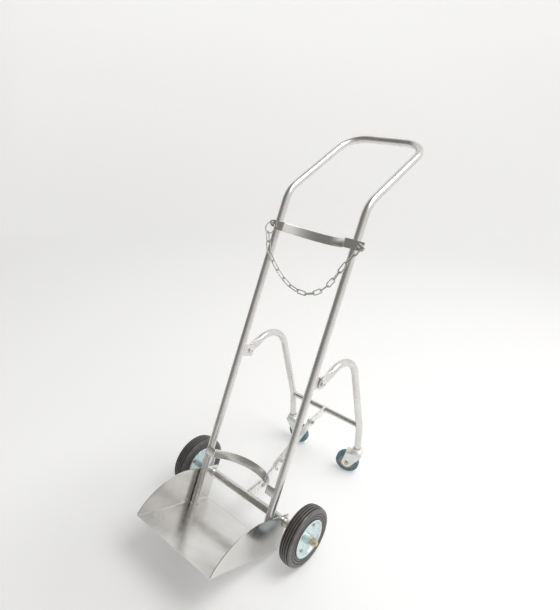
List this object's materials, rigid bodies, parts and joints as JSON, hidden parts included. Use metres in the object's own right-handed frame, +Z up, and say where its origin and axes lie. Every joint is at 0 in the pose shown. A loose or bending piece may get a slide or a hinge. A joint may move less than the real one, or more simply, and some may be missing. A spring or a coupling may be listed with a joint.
{
  "type": "gas cylinder trolley",
  "caption": "Leaning bent-tube trolley for a gas cylinder, with a sheet tray, curved bands, a safety chain, rubber wheels and folding rear legs on swivel casters",
  "frame": {"origin": "on the floor, under the middle of the trolley's bounding box", "axes": "+Z up; +X across, along the wheel axle; -Y the tray side, +Y the handle and caster side"},
  "size_m": [0.6026, 1.0693, 1.2038],
  "materials": {
    "stainless_steel": "satin polished",
    "zinc_steel": "bright zinc plated",
    "yellow_zinc": "yellow zinc plated",
    "black_rubber": "matt rubber",
    "blue_rubber": "smooth rubber",
    "tan_plastic": "moulded plastic"
  },
  "bodies": {
    "frame": {"frame_tube": "stainless_steel", "tray": "stainless_steel", "upper_band": "stainless_steel", "lower_band": "stainless_steel", "axle_tube": "stainless_steel", "axle_rod": "zinc_steel", "axle_washers": "zinc_steel", "axle_nuts": "yellow_zinc", "left_leg_bracket": "stainless_steel", "right_leg_bracket": "stainless_steel", "leg_hinge_bolts": "zinc_steel", "leg_stop_pins": "zinc_steel", "axle_lug": "stainless_steel", "axle_lug_bolt": "zinc_steel", "left_chain_lug": "stainless_steel", "right_chain_lug": "stainless_steel", "chain_ring": "zinc_steel", "chain_left_end": "zinc_steel", "chain_right_end": "zinc_steel", "shackle_bow": "zinc_steel", "shackle_pin": "zinc_steel"},
    "left_wheel": {"left_tyre": "black_rubber", "left_rim_outer": "zinc_steel", "left_rim_inner": "zinc_steel", "left_rim_bolts": "zinc_steel", "left_hub": "zinc_steel", "left_hub_bush": "tan_plastic"},
    "right_wheel": {"right_tyre": "black_rubber", "right_rim_outer": "zinc_steel", "right_rim_inner": "zinc_steel", "right_rim_bolts": "zinc_steel", "right_hub": "zinc_steel", "right_hub_bush": "tan_plastic"},
    "legs": {"left_leg": "stainless_steel", "right_leg": "stainless_steel", "leg_crossbar": "stainless_steel", "crossbar_lug": "stainless_steel", "crossbar_lug_bolt": "zinc_steel", "left_caster_head": "zinc_steel", "right_caster_head": "zinc_steel"},
    "stay_lower": {"stay_bar": "stainless_steel"},
    "stay_upper": {"stay_strips": "stainless_steel", "knee_rivets": "zinc_steel", "knee_stop_pin": "zinc_steel"},
    "left_caster": {"left_caster_fork": "zinc_steel", "left_caster_axle": "zinc_steel"},
    "left_caster_wheel": {"left_caster_core": "tan_plastic", "left_caster_tyre": "blue_rubber"},
    "right_caster": {"right_caster_fork": "zinc_steel", "right_caster_axle": "zinc_steel"},
    "right_caster_wheel": {"right_caster_core": "tan_plastic", "right_caster_tyre": "blue_rubber"},
    "chain": {"chain_loop": "zinc_steel"}
  },
  "joints": [
    {"name": "left_wheel_spin", "type": "hinge", "parent": "frame", "child": "left_wheel", "pos_m": [-0.25, -0.21566, 0.1], "axis": [1, 0, 0], "continuous": true},
    {"name": "right_wheel_spin", "type": "hinge", "parent": "frame", "child": "right_wheel", "pos_m": [0.25, -0.21566, 0.1], "axis": [1, 0, 0], "continuous": true},
    {"name": "leg_fold", "type": "hinge", "parent": "frame", "child": "legs", "pos_m": [0, -0.02758, 0.52897], "axis": [-1, 0, 0], "range_deg": [0, 34]},
    {"name": "stay_lower_turn", "type": "hinge", "parent": "frame", "child": "stay_lower", "pos_m": [0, -0.14266, 0.1], "axis": [-1, 0, 0], "range_deg": [0, 103.53]},
    {"name": "stay_upper_turn", "type": "hinge", "parent": "legs", "child": "stay_upper", "pos_m": [0, 0.133, 0.20827], "axis": [1, 0, 0], "range_deg": [0, 85.95]},
    {"name": "left_caster_swivel", "type": "hinge", "parent": "legs", "child": "left_caster", "pos_m": [-0.1593, 0.22034, 0.06], "axis": [0, 0, 1], "continuous": true},
    {"name": "left_caster_roll", "type": "hinge", "parent": "left_caster", "child": "left_caster_wheel", "pos_m": [-0.12432, 0.21912, 0.045], "axis": [0.0349, 0.9994, 0], "continuous": true},
    {"name": "right_caster_swivel", "type": "hinge", "parent": "legs", "child": "right_caster", "pos_m": [0.1593, 0.22034, 0.06], "axis": [0, 0, 1], "continuous": true},
    {"name": "right_caster_roll", "type": "hinge", "parent": "right_caster", "child": "right_caster_wheel", "pos_m": [0.12601, 0.20952, 0.045], "axis": [0.309, -0.9511, 0], "continuous": true},
    {"name": "chain_swing", "type": "hinge", "parent": "frame", "child": "chain", "pos_m": [0, 0.05667, 0.87165], "axis": [-1, 0, 0], "range_deg": [-10, 60]}
  ],
  "couplings": [
    {"joint": "stay_lower_turn", "follows": "leg_fold", "ratio": 3.0436},
    {"joint": "stay_upper_turn", "follows": "leg_fold", "ratio": 2.5266}
  ]
}
